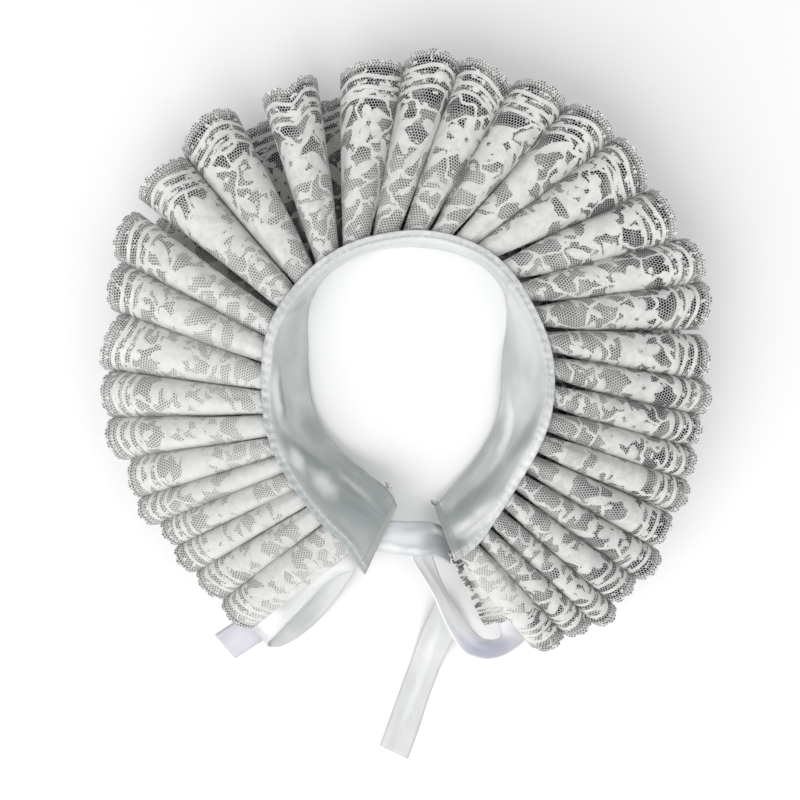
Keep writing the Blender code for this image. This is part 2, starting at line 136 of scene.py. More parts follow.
# The band's folds as along and across at both ends, width, depth
BAND_FOLDS = (
    (69.5, 3.5, 34.7, 22.6, 4.2, -1.0), (60.0, 5.0, 31.0, 14.5, 3.6, 0.9), (40.4, 21.5, 12.4, 21.5, 1.7, 0.6),
    (96.0, 5.2, 71.0, 7.6, 1.7, 0.7), (95.0, 9.2, 73.0, 10.6, 1.5, -0.6), (104.0, 17.0, 64.0, 23.0, 4.5, 0.7),
    (30.0, 4.5, 8.0, 6.5, 1.6, 0.4), (24.0, 12.0, 5.0, 15.0, 3.0, -0.5),
    (283.0, 24.7, 320.0, 17.3, 3.0, 0.9), (300.0, 29.0, 345.0, 26.0, 3.0, -0.5), (358.0, 20.5, 322.0, 13.0, 3.8, -1.0),
    (322.0, 13.0, 285.0, 4.6, 3.8, -0.9), (356.0, 12.0, 328.0, 4.0, 2.4, 1.0), (350.0, 8.0, 338.0, 4.2, 1.0, -0.6),
    (357.0, 9.5, 345.0, 10.5, 0.9, 0.5), (353.0, 5.0, 347.0, 7.5, 0.9, -0.5), (344.0, 11.0, 336.0, 7.0, 0.9, 0.4),
    (262.0, 28.0, 250.0, 12.0, 5.0, -0.7), (242.0, 8.0, 276.0, 15.0, 4.5, 0.6),
    (148.0, 8.0, 215.0, 6.0, 1.1, 0.5), (160.0, 13.0, 226.0, 12.0, 1.4, -0.5), (138.0, 12.0, 176.0, 10.0, 1.0, 0.45),
    (184.0, 9.0, 230.0, 10.0, 1.0, -0.45), (126.0, 6.0, 152.0, 5.0, 1.0, 0.45), (165.0, 17.0, 205.0, 20.0, 2.0, 0.5),
    (117.6, 3.5, 131.4, 20.5, 1.1, -1.0), (131.4, 20.5, 134.0, 29.0, 1.4, -0.8), (120.0, 2.5, 136.0, 18.0, 1.4, 0.6),
    (230.9, 2.0, 240.4, 23.6, 1.1, -1.0), (228.0, 3.0, 236.0, 24.0, 1.4, 0.6),
    *((fold, -1.0, fold, 31.0, 0.9, -0.5) for fold in HEM_FOLDS),
)
# The ties, a row of two edge points (x, y, z each) for each section
TIE_BRIDGE = (
    (-13.6, -58.6, 19.4, -15.2, -70.3, 20.0), (-7.2, -58.2, 19.2, -9.6, -71.0, 19.9),
    (-1.1, -58.6, 18.2, -3.1, -72.0, 19.2), (4.1, -58.8, 15.8, 3.3, -72.6, 17.6),
    (8.7, -59.6, 11.8, 9.0, -73.2, 13.6), (12.9, -61.7, 8.4, 13.2, -75.0, 11.0),
    (16.7, -64.5, 5.8, 16.6, -77.4, 8.5),
)
TIE_LEFT_LOOP = (
    (-24.6, -64.5, 19.0, -17.0, -73.6, 18.8),
    (-29.6, -68.0, 19.5, -21.6, -77.6, 19.5), (-37.0, -71.5, 17.5, -28.1, -80.4, 17.4),
    (-44.8, -77.3, 15.0, -35.1, -85.5, 15.0), (-51.1, -83.6, 13.2, -41.3, -92.0, 13.2),
    (-58.2, -90.6, 11.5, -48.6, -99.6, 11.5), (-64.1, -96.8, 10.2, -55.1, -106.5, 10.2),
    (-66.8, -99.5, 8.2, -57.8, -109.2, 8.0), (-67.4, -100.8, 5.8, -58.6, -111.4, 5.4),
    (-65.4, -101.6, 3.7, -57.2, -112.6, 3.2), (-61.3, -101.4, 3.0, -53.3, -112.2, 2.6),
    (-54.7, -98.0, 3.2, -46.0, -108.3, 2.8), (-46.7, -92.0, 4.2, -37.6, -101.0, 3.6),
    (-40.3, -85.0, 6.2, -30.4, -92.4, 5.4), (-36.0, -78.4, 9.0, -25.2, -84.6, 8.0),
    (-32.0, -71.5, 12.0, -21.0, -77.5, 11.0),
)
TIE_LEFT_TAIL = (
    (-81.3, -108.2, 0.5, -72.9, -118.0, 0.5), (-74.2, -103.6, 0.5, -65.6, -113.2, 0.5),
    (-65.0, -97.8, 0.5, -56.4, -107.4, 0.5), (-55.0, -91.1, 2.2, -46.4, -100.7, 2.0),
)
TIE_RIGHT_LOOP = (
    (-0.7, -68.9, 17.3, 7.8, -67.8, 10.8), (0.9, -74.6, 16.0, 10.1, -76.0, 8.0),
    (5.4, -81.7, 15.0, 13.4, -84.9, 5.4), (9.8, -89.4, 14.0, 17.1, -92.1, 4.0),
    (13.1, -97.3, 13.0, 21.4, -98.4, 3.1), (16.4, -104.4, 12.0, 25.4, -104.4, 2.6),
    (21.8, -112.5, 10.5, 30.4, -109.2, 1.9), (28.4, -115.4, 10.5, 33.4, -109.9, 1.5),
    (33.7, -115.6, 11.0, 35.5, -110.0, 1.4), (38.8, -114.2, 10.6, 37.6, -109.2, 1.3),
    (44.2, -111.2, 9.4, 38.4, -107.4, 1.3), (48.0, -108.3, 7.5, 38.0, -105.0, 1.5),
    (48.9, -104.3, 4.6, 36.9, -101.6, 1.6), (46.0, -96.9, 3.0, 33.6, -94.4, 1.8),
    (41.0, -89.0, 3.6, 29.0, -87.2, 2.4), (36.4, -81.2, 5.8, 24.4, -80.4, 4.6),
)
TIE_RIGHT_TAIL = (
    (11.2, -90.5, 10.5, 18.2, -105.9, 9.3), (8.0, -98.8, 5.6, 15.9, -113.1, 4.6),
    (4.6, -107.0, 1.9, 13.1, -120.4, 1.6), (0.9, -117.8, 0.5, 10.3, -128.2, 0.5),
    (-3.1, -128.6, 0.5, 6.7, -138.3, 0.5), (-6.7, -138.7, 0.5, 4.0, -147.0, 0.5),
    (-12.3, -154.3, 0.5, -0.7, -159.9, 0.5),
)


# ---------------------------------------------------------------- curves and grids

def through(xs, column, at):
    """A smooth curve through a table's column, read at the given places."""
    xs, ys, at = np.asarray(xs, float), np.asarray(column, float), np.asarray(at, float)
    slope = np.gradient(ys, xs)
    k = np.clip(np.searchsorted(xs, at) - 1, 0, len(xs) - 2)
    h = xs[k + 1] - xs[k]
    t = (at - xs[k]) / h
    return ((2 * t**3 - 3 * t**2 + 1) * ys[k] + (t**3 - 2 * t**2 + t) * h * slope[k]
            + (3 * t**2 - 2 * t**3) * ys[k + 1] + (t**3 - t**2) * h * slope[k + 1])


def smooth(low, high, x):
    t = np.clip((np.asarray(x, float) - low) / (high - low), 0, 1)
    return t * t * (3 - 2 * t)


def polar(angle, radius):
    a = np.radians(angle)
    return np.stack([-radius * np.sin(a), -radius * np.cos(a)], axis=-1)


def seam_line(angles):
    table = np.array(NECKLINE)
    near = [polar(angles + d, through(table[:, 0], table[:, 1], angles + d)) for d in (-0.5, 0, 0.5)]
    run = near[2] - near[0]
    run /= np.linalg.norm(run, axis=1, keepdims=True)
    return near[1], np.stack([run[:, 1], -run[:, 0]], axis=1)


def bezier(points, steps):
    t = np.linspace(0, 1, steps, endpoint=False)[:, None]
    a, b, c, d = (np.asarray(p, float) for p in points)
    return (1 - t) ** 3 * a + 3 * (1 - t) ** 2 * t * b + 3 * (1 - t) * t**2 * c + t**3 * d


def half_wave(start, end, half_start, half_end, rise):
    turn = 1 if start[1] > end[1] else -1
    a = (start[0] + half_start, start[1] - turn * rise)
    b = (end[0] - half_end, end[1] + turn * rise)
    fall = 0.36 * abs(a[1] - b[1]) * turn
    out = bezier((start, (start[0] + LOOP_WIDE * half_start, start[1]), (a[0], a[1] + turn * 0.45 * rise), a),
                 ARC_STEPS)
    side = bezier((a, (a[0], a[1] - fall), (b[0], b[1] + fall), b), FALL_STEPS)
    back = bezier((b, (b[0], b[1] - turn * 0.45 * rise), (end[0] - LOOP_WIDE * half_end, end[1]), end),
                  ARC_STEPS)
    return np.concatenate([out, side, back])


def loops():
    """Loops in order: neck angle, edge angle, reach, half widths before and after the middle, foot lift."""
    out = []
    for i, (neck, edge, reach, width) in enumerate(FLUTES):
        halves = []
        for other in (i - 1, i + 1):  # neighbouring flutes swell until they nearly touch
            swell = 0.05 * width
            if 0 <= other < len(FLUTES):
                gap = abs(FLUTES[other][1] - edge) - (FLUTES[other][3] + width) / 2
                swell = min(max(SWELL_SHARE * gap, 0.0), SWELL_MOST * width)
                if (i, other) in APART:
                    swell = -0.02 * width
            halves.append(width / 2 + swell)
        out.append((neck, edge, reach, halves[0], halves[1], 0.0))
        if i + 1 < len(FLUTES):
            after = FLUTES[i + 1]
            span = after[1] - edge
            half = min(0.42 * span, (span + 1.5) / 2 - 0.8)
            out.append(((neck + after[0]) / 2, (edge + after[1]) / 2, (reach + after[2]) / 2 - LOWER_SHORT,
                        half, half, 0.0))
    neck, edge, reach, width, foot = END_FLAP
    out.append((neck, edge, reach, width / 2, width / 2, foot - FLUTE_FOOT))
    return out


def frill():
    """The frill's columns, each column's place in waves (whole at a crest), and each valley's column."""
    table, edge_line, neck_line, wide_line, extra, wave, valley = loops(), [], [], [], [], [], {}
    for k in range(len(table) - 1):
        (neck_a, edge_a, reach_a, _, half_a, lift_a), (neck_b, edge_b, reach_b, half_b, _, lift_b) = table[k:k + 2]
        top = 1 if k % 2 == 0 else -1
        quarter = math.radians((half_a + half_b) / 2) * (reach_a + reach_b) / 2
        rise = min(0.92, quarter / (FLUTE_TOP / 2))
        gather = np.interp(neck_a, *zip(*GATHERED)) * (neck_b - neck_a) * 2
        wide = np.interp(neck_a, *zip(*MEETING)) * (neck_b - neck_a) * 2
        at_edge = half_wave((edge_a, top), (edge_b, -top), half_a, half_b, rise)
        at_neck = half_wave((neck_a, top), (neck_b, -top), gather, gather, 0.8)
        at_wide = half_wave((neck_a, top), (neck_b, -top), wide, wide, 0.8)
        share = np.linspace(0, 1, len(at_edge), endpoint=False)
        at_wave = (k + share) / 2
        if k == 0:
            lead = half_wave((2 * edge_a - edge_b, -1), (edge_a, 1), half_b, half_a, rise)[-ARC_STEPS - 3:]
            # the first side spreads over the ribbon below the band's end
            lead_neck = half_wave((2 * neck_a - neck_b, -1), (neck_a, 1), gather, 2.0 * gather, 0.45)[-ARC_STEPS - 3:]
            at_wave = np.concatenate([-share[1:len(lead) + 1][::-1] / 2, at_wave])
            at_edge, at_neck = np.concatenate([lead, at_edge]), np.concatenate([lead_neck, at_neck])
            at_wide = np.concatenate([lead_neck, at_wide])
            share = np.concatenate([np.zeros(len(lead)), share])
        if top < 0:
            valley[k // 2] = len(np.concatenate(edge_line))
        edge_line.append(at_edge)
        neck_line.append(at_neck)
        wide_line.append(at_wide)
        wave.append(at_wave)
        extra.append(np.stack([reach_a + share * (reach_b - reach_a), lift_a + share**2 * (lift_b - lift_a)], axis=1))
    valley[len(FLUTES) - 1] = len(np.concatenate(edge_line))
    neck, edge, reach, width, foot = END_FLAP
    for part in np.linspace(0, 0.9, 7):
        edge_line.append([(edge + part * width / 2, -1 + 0.12 * part)])
        neck_line.append([(neck + part * 1.2, -1 + 0.3 * part)])
        wide_line.append(neck_line[-1])
        extra.append([(reach - 1.5 * part, foot - FLUTE_FOOT)])
        wave.append([len(FLUTES) - 0.5 + part * 0.2])
    edge_line, neck_line, wide_line, extra, wave = (
        np.concatenate(a) for a in (edge_line, neck_line, wide_line, extra, wave))
    seam, inward = seam_line(neck_line[:, 0])
    neck_at = seam + NECK_INSET * inward
    seam, inward = seam_line(wide_line[:, 0])
    wide_at = seam + NECK_INSET * inward
    crest = np.rint(wave).clip(0, len(FLUTES) - 1).astype(int)
    flutes = np.array(FLUTES)
    beside = (edge_line[:, 0] - flutes[crest, 1]) / (flutes[crest, 3] / 2)
    far = smooth(0.0, 0.55, np.abs(wave - crest) * 2) * (1 - smooth(0.62, 1.0, np.abs(wave - crest) * 2))
    shape = np.array([TIPS.get(i, PLAIN_TIP) for i in range(len(FLUTES))])[crest]
    tip = shape[:, 0] * np.clip(beside, -1, 1) * (1 - smooth(0.5, 1.0, np.abs(wave - crest) * 2))
    tip = tip - shape[:, 1] * far - shape[:, 2] * np.exp(-(beside / 0.35) ** 2) * (np.abs(wave - crest) < 0.25)
    edge_at = polar(edge_line[:, 0], extra[:, 0] - EDGE_SHORT + tip)
    rows = np.linspace(0, 1, LACE_ROWS)
    grow = np.clip((rows - SEWN_PART) / (1 - SEWN_PART), 0, 1)
    sink = np.clip((rows - SEWN_PART) / (REST_FROM - SEWN_PART), 0, 1)
    rest = smooth(0.0, 1.0, sink) * 0.5 + 0.5 * sink
    high = NECK_MIDDLE + NECK_RISE + grow * (FLUTE_TOP - NECK_MIDDLE - NECK_RISE)
    low = (NECK_MIDDLE - NECK_RISE + rest * (FLUTE_FOOT - NECK_MIDDLE + NECK_RISE))[None] + grow * extra[:, 1:2]
    low = low - NECK_DEEP * (1 - smooth(0.15, 0.7, rows))
    height = neck_line[:, 1:2] + grow * (edge_line[:, 1:2] - neck_line[:, 1:2])
    columns = np.zeros((len(edge_at), len(rows), 3))
    meet = smooth(0.08, 0.38, rows)[None, :, None]
    start = neck_at[:, None] + meet * (wide_at - neck_at)[:, None]
    columns[:, :, :2] = start + rows[None, :, None] * (edge_at[:, None] - start)
    columns[:, :, 2] = (high + low) / 2 + height * (high - low) / 2
    return columns, wave, valley


def normals_of(grid):
    normal = np.cross(np.gradient(grid, axis=0), np.gradient(grid, axis=1))
    return normal / np.maximum(np.linalg.norm(normal, axis=2, keepdims=True), 1e-9)


def lengths(points):
    """Running length along a line of points."""
    return np.concatenate([[0.0], np.cumsum(np.linalg.norm(np.diff(points, axis=0), axis=-1))])


def eased(values, reach):
    """Values along a line, evened out over a few neighbours."""
    share = np.hanning(2 * reach + 3)[1:-1]
    share /= share.sum()
    padded = np.pad(values, (reach, reach), mode="edge")
    return np.convolve(padded, share, mode="valid")


def from_line(x, y, x0, y0, x1, y1):
    """The place along a line, from 0 to 1, and the distance from it."""
    run = np.array([x1 - x0, y1 - y0], float)
    inside = np.clip(((x - x0) * run[0] + (y - y0) * run[1]) / max(run @ run, 1e-6), 0, 1)
    return inside, np.hypot(x - x0 - inside * run[0], y - y0 - inside * run[1])


def creased(grid, along, across, table):
    """Soft troughs (negative depth) and ridges. A row: along and across at each end, width, depth."""
    push = np.zeros(grid.shape[:2])
    for a0, c0, a1, c1, width, depth in table:
        inside, off = from_line(along, across, a0, c0, a1, c1)
        push += depth * np.exp(-(off / width) ** 2) * (0.25 + 0.75 * np.sin(np.pi * inside))
    return grid + normals_of(grid) * push[..., None]


# ---------------------------------------------------------------- meshes

def sheet_mesh(name, grid, flat, thick, material, values=None):
    """A shell on a grid of points in millimetres, with its flat coordinates as a UV map in millimetres."""
    n, m = grid.shape[:2]
    grid = grid.copy()
    grid[:, :, 2] = np.maximum(grid[:, :, 2], thick / 2 + 0.02)
    points = (grid.reshape(-1, 3) - np.array([CENTRE[0], CENTRE[1], 0.0])) * M
    index = np.arange(n * m).reshape(n, m)
    quads = np.stack([index[:-1, :-1], index[1:, :-1], index[1:, 1:], index[:-1, 1:]], axis=-1).reshape(-1, 4)
    mesh = bpy.data.meshes.new(name)
    mesh.from_pydata(points.tolist(), [], quads.tolist())
    uv = mesh.uv_layers.new(name="flat")
    uv.data.foreach_set("uv", flat.reshape(-1, 2)[quads.ravel()].astype(np.float32).ravel())
    for key, value in (values or {}).items():
        layer = mesh.attributes.new(key, "FLOAT", "POINT")
        layer.data.foreach_set("value", value.astype(np.float32).ravel())
    mesh.polygons.foreach_set("use_smooth", np.ones(len(quads), bool))
    mesh.materials.append(material)
    obj = bpy.data.objects.new(name, mesh)
    bpy.context.scene.collection.objects.link(obj)
    shell = obj.modifiers.new("shell", "SOLIDIFY")
    shell.thickness = thick * M
    shell.offset = 0
    shell.use_even_offset = False
    return obj


def threads_mesh(name, paths, radius, material, sides=5):
    """Thin threads along paths in millimetres, tapered at their ends."""
    points, faces = [], []
    for path in paths:
        path = np.asarray(path, float)
        run = np.gradient(path, axis=0)
        run /= np.maximum(np.linalg.norm(run, axis=1, keepdims=True), 1e-9)
        side = np.cross(run, [0, 0, 1.0])
        side /= np.maximum(np.linalg.norm(side, axis=1, keepdims=True), 1e-9)
        up = np.cross(side, run)
        base = len(points)
        for i, p in enumerate(path):
            r = radius * (0.35 if i in (0, len(path) - 1) else 1.0)
            for s in range(sides):
                a = 2 * math.pi * s / sides
                points.append(p + r * (math.cos(a) * side[i] + math.sin(a) * up[i]))
        for i in range(len(path) - 1):
            for s in range(sides):
                t = (s + 1) % sides
                faces.append((base + i * sides + s, base + i * sides + t, base + (i + 1) * sides + t,
                              base + (i + 1) * sides + s))
        faces.append(tuple(base + s for s in reversed(range(sides))))
        faces.append(tuple(base + (len(path) - 1) * sides + s for s in range(sides)))
    mesh = bpy.data.meshes.new(name)
    points = (np.array(points) - np.array([CENTRE[0], CENTRE[1], 0.0])) * M
    mesh.from_pydata(points.tolist(), [], faces)
    mesh.polygons.foreach_set("use_smooth", np.ones(len(faces), bool))
    mesh.materials.append(material)
    obj = bpy.data.objects.new(name, mesh)
    bpy.context.scene.collection.objects.link(obj)
    return obj


def dress(obj, node=None):
    """Everything rides on the one body; some pieces take the place of a node."""
    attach(obj, "root")
    if node:
        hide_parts(node)


# ---------------------------------------------------------------- materials

class Graph:
    """A material's nodes, put together from short calls."""

    def __init__(self, name):
        self.material = bpy.data.materials.new(name)
        self.material.use_nodes = True
        self.tree = self.material.node_tree
        self.shader = self.tree.nodes["Principled BSDF"]

    def put(self, kind, ins=(), out=0, **settings):
        node = self.tree.nodes.new(kind)
        for key, value in settings.items():
            setattr(node, key, value)
        for key, value in (ins.items() if isinstance(ins, dict) else enumerate(ins)):
            if isinstance(value, bpy.types.NodeSocket):
                self.tree.links.new(value, node.inputs[key])
            elif value is not None:
                node.inputs[key].default_value = value
        return node.outputs[out]

    def math(self, operation, *ins):
        return self.put("ShaderNodeMath", ins, operation=operation)

    def vec(self, operation, *ins, out=0):
        return self.put("ShaderNodeVectorMath", ins, operation=operation, out=out)

    def ramp(self, value, low, high, to_low=0.0, to_high=1.0):
        return self.put("ShaderNodeMapRange", (value, low, high, to_low, to_high), interpolation_type="SMOOTHSTEP")

    def mix(self, share, a, b):
        return self.put("ShaderNodeMix", {0: share, 6: a, 7: b}, out=2, data_type="RGBA")

    def noise(self, vector, scale, detail=2.0, rough=0.5):
        return self.put("ShaderNodeTexNoise", {"Vector": vector, "Scale": scale, "Detail": detail,
                                               "Roughness": rough})

    def ellipse(self, vector, x, y, rx, ry, turn=0.0):
        """Below 1 inside an ellipse."""
        local = self.put("ShaderNodeMapping", (vector, (x, y, 0), (0, 0, math.radians(turn)), (rx, ry, 1)),
                         vector_type="TEXTURE")
        return self.vec("LENGTH", local, out=1)

    def least(self, values):
        first = values[0]
        for value in values[1:]:
            first = self.math("MINIMUM", first, value)
        return first

    def most(self, values):
        first = values[0]
        for value in values[1:]:
            first = self.math("MAXIMUM", first, value)
        return first

    def link(self, socket, name):
        self.tree.links.new(socket, self.shader.inputs[name])

    def lit_through(self, colour, share):
        """Some of the light that falls on the cloth's back comes through."""
        back = self.put("ShaderNodeBsdfTranslucent", (colour,))
        both = self.put("ShaderNodeMixShader", (share, self.shader.outputs[0], back))
        self.tree.links.new(both, self.tree.nodes["Material Output"].inputs["Surface"])

    def bump(self, height, strength, distance):
        self.link(self.put("ShaderNodeBump", {"Strength": strength, "Distance": distance, "Height": height}),
                  "Normal")


REPEAT = 46.0  # length of the lace's pattern along the strip
NET = 1.16  # spacing of the net's holes


def flower(x, y, petals, out, rx, ry, start=0.0):
    """Rows of ellipses for the petals of one flower."""
    rows = []
    for i in range(petals):
        turn = start + i * 360 / petals
        a = math.radians(turn)
        rows.append((x + out * math.cos(a), y + out * math.sin(a), rx, ry, turn))
    return rows


def lace_material():
    g = Graph("lace_cotton")
    flat = g.put("ShaderNodeUVMap", uv_map="flat")
    parts = g.put("ShaderNodeSeparateXYZ", (flat,))
    node = parts.node
    s, d = node.outputs[0], node.outputs[1]
    # a slight uneven pull of the cloth
    pull = g.noise(g.vec("MULTIPLY", flat, (0.05, 0.05, 0.0)), 1.0, 1.0)
    s_in = g.math("ADD", s, g.math("MULTIPLY", g.math("SUBTRACT", pull, 0.5), 3.0))
    d_in = g.math("ADD", d, g.math("MULTIPLY", g.math("SUBTRACT", pull, 0.5), 2.0))
    cell_s = g.math("WRAP", s_in, REPEAT, 0.0)
    cell = g.put("ShaderNodeCombineXYZ", (cell_s, d_in, 0.0))
    # motifs
    solids = (flower(11.5, 26.5, 6, 4.6, 3.9, 2.3, 15) + flower(35.0, 21.5, 5, 3.9, 3.1, 2.1, 40)
              + [(23.2, 17.5, 6.2, 2.3, -40), (24.0, 30.5, 6.8, 2.5, 48), (43.5, 31.5, 5.4, 2.1, 60),
                 (2.8, 37.5, 5.2, 2.0, -55), (33.5, 38.0, 5.6, 2.2, -18), (16.5, 44.5, 5.8, 2.1, 12)])
    solid_at = g.least([g.ellipse(cell, *row) for row in solids])
    solid = g.ramp(solid_at, 1.04, 0.94)
    # how much shade is painted into the holes, set per point in lace()
    hole_shade = g.put("ShaderNodeAttribute", attribute_name="painted_hole_shade", out=2)
    # patches of net with worked cloth between them, some of the patches worked all over
    warp = g.vec("SUBTRACT", g.put("ShaderNodeTexNoise", {"Vector": flat, "Scale": 0.11, "Detail": 2.0}, out=1),
                 (0.5, 0.5, 0.5))
    place = g.vec("ADD", g.vec("MULTIPLY", flat, (0.085, 0.092, 0.0)), g.vec("MULTIPLY", warp, (1.3, 1.1, 0.0)))
    border = g.put("ShaderNodeTexVoronoi", {"Vector": place, "Scale": 1.0, "Randomness": 0.85},
                   voronoi_dimensions="2D", feature="DISTANCE_TO_EDGE")
    chance = g.put("ShaderNodeSeparateColor", (g.put(
        "ShaderNodeTexVoronoi", {"Vector": place, "Scale": 1.0, "Randomness": 0.85}, out=1,
        voronoi_dimensions="2D"),))
    ribs = g.ramp(border, 0.085, 0.060)
    net_and_shade = g.put("ShaderNodeAttribute", attribute_name="net_and_shade", out=2)
    more = g.math("ADD", g.math("MULTIPLY", net_and_shade, g.ramp(d_in, 12.0, 45.0)), g.ramp(hole_shade, 0.85, 1.0, 0.0, 0.6))
    more = g.math("ADD", more, g.ramp(d_in, 28.0, 16.0, 0.0, 0.7))
    whole = g.ramp(g.math("SUBTRACT", chance, g.math("MULTIPLY", more, 0.20)), 0.70, 0.71)
    blob = g.noise(g.vec("MULTIPLY", flat, (0.15, 0.21, 0.0)), 1.0, 2.0, 0.45)
    worked = g.ramp(g.math("SUBTRACT", blob, g.math("MULTIPLY", more, 0.05)), 0.55, 0.565)
    field = g.math("MULTIPLY", g.most([ribs, whole, worked]), g.ramp(d_in, 10.5, 11.5))
    # bands along the scalloped edge
    edge = g.math("ADD", d, g.math("MULTIPLY", g.math("SINE", g.math("MULTIPLY", s, 2 * math.pi / 23.0)), 0.7))
    broken = g.noise(g.vec("MULTIPLY", flat, (0.16, 0.34, 0.0)), 1.0, 2.0)
    crumbs = g.ramp(g.noise(flat, 0.55, 1.0), 0.60, 0.62)
    rim = g.put("ShaderNodeAttribute", attribute_name="rim", out=2)
    band = g.most([g.ramp(rim, 0.3, 0.6), g.math("MULTIPLY", g.ramp(d, 1.2, 0.9), g.ramp(d, 0.2, 0.4)),
                   g.math("MULTIPLY", crumbs, g.ramp(edge, 12.0, 10.0)),
                   g.math("MULTIPLY", g.ramp(edge, 3.5, 3.8), g.ramp(edge, 5.3, 5.0)),
                   g.math("MULTIPLY", g.ramp(edge, 7.4, 7.7), g.ramp(edge, 9.2, 8.9)),
                   g.math("MULTIPLY", g.ramp(edge, 11.0, 11.3), g.ramp(edge, 12.6, 12.3)),
                   g.math("MULTIPLY", g.ramp(edge, 5.0, 5.3), g.math("MULTIPLY", g.ramp(edge, 12.4, 12.0),
                                                                     g.ramp(broken, 0.54, 0.57)))])
    filled = g.most([solid, band, field])
    # hexagonal net
    tall = NET * math.sqrt(3)
    lattice = g.vec("DIVIDE", flat, (NET, tall, 1.0))
    offs = []
    for shift in ((0.0, 0.0, 0.0), (0.5, 0.5, 0.0)):
        part = g.vec("SUBTRACT", g.vec("FRACTION", g.vec("ADD", lattice, shift)), (0.5, 0.5, 0.0))
        offs.append(g.vec("LENGTH", g.vec("MULTIPLY", part, (NET, tall, 0.0)), out=1))
    hole_at = g.least(offs)
    # holes are drawn smaller where less hole shade is painted, which also paints the net lighter there
    closed = g.math("MULTIPLY", g.math("SUBTRACT", 1.0, hole_shade), 0.16)  # the crowded net looks finer
    hole = g.ramp(g.math("ADD", hole_at, closed), 0.58, 0.44)
    open_hole = g.math("MULTIPLY", hole, g.math("SUBTRACT", 1.0, filled))
    # tiny eyelets along the outer edge
    eyelet = g.vec("LENGTH", g.put("ShaderNodeCombineXYZ", (
        g.math("SUBTRACT", g.math("WRAP", s, 1.35, 0.0), 0.675), g.math("SUBTRACT", d, 0.75), 0.0)), out=1)
    open_hole = g.math("MAXIMUM", open_hole, g.ramp(eyelet, 0.36, 0.24, 0.0, 0.8))
    # painted shade in the holes, for what would show through them: dark inside the flutes, paler where the lace is
    # crowded
    hole_shade_patch = g.ramp(g.noise(g.vec("MULTIPLY", flat, (0.09, 0.12, 0.0)), 1.0, 2.0), 0.36, 0.58, 0.50, 1.1)
    depth = g.math("MULTIPLY", hole_shade, hole_shade_patch)
    painted_hole_colour = g.mix(depth, (0.50, 0.50, 0.48, 1), (0.006, 0.006, 0.006, 1))
    # thread colour: even in the worked parts, a little greyer in the net; this greying, set by flute and raised in the
    # valleys, is painted shade
    tone = g.noise(g.vec("MULTIPLY", flat, (0.28, 0.28, 0.0)), 1.0, 3.0, 0.6)
    thread_painted_shade = g.ramp(net_and_shade, 0.5, 1.8)
    thread = g.mix(g.ramp(tone, 0.34, 0.66), g.mix(thread_painted_shade, (0.89, 0.89, 0.87, 1), (0.66, 0.665, 0.645, 1)),
                   g.mix(thread_painted_shade, (0.97, 0.97, 0.95, 1), (0.82, 0.82, 0.80, 1)))
    thread = g.mix(g.math("MULTIPLY", g.math("SUBTRACT", 1.0, filled), 0.6), thread,
                   g.mix(thread_painted_shade, (0.92, 0.92, 0.90, 1), (0.79, 0.79, 0.77, 1)))
    thread = g.mix(g.math("MULTIPLY", g.math("MULTIPLY", ribs, g.ramp(d_in, 11.0, 14.0)), 0.5), thread,
                   (0.90, 0.90, 0.88, 1))
    g.link(g.mix(open_hole, thread, painted_hole_colour), "Base Color")
    g.shader.inputs["Roughness"].default_value = 0.85
    g.shader.inputs["Specular IOR Level"].default_value = 0.25
    g.shader.inputs["Sheen Weight"].default_value = 0.15
    rows = g.math("SINE", g.math("MULTIPLY", g.math("ADD", s, d), 8.0))
    cord = g.ramp(g.math("ABSOLUTE", g.math("SUBTRACT", solid_at, 0.97)), 0.14, 0.02)
    height = g.math("ADD", g.math("MULTIPLY", filled, 0.55), g.math("MULTIPLY", cord, 0.5))
    height = g.math("ADD", height, g.math("MULTIPLY", g.math("MULTIPLY", rows, filled), 0.08))
    height = g.math("SUBTRACT", height, g.math("MULTIPLY", open_hole, 0.9))
    g.bump(height, 0.5, 0.00035)
    g.lit_through(g.mix(open_hole, thread, painted_hole_colour), 0.38)
    return g.material


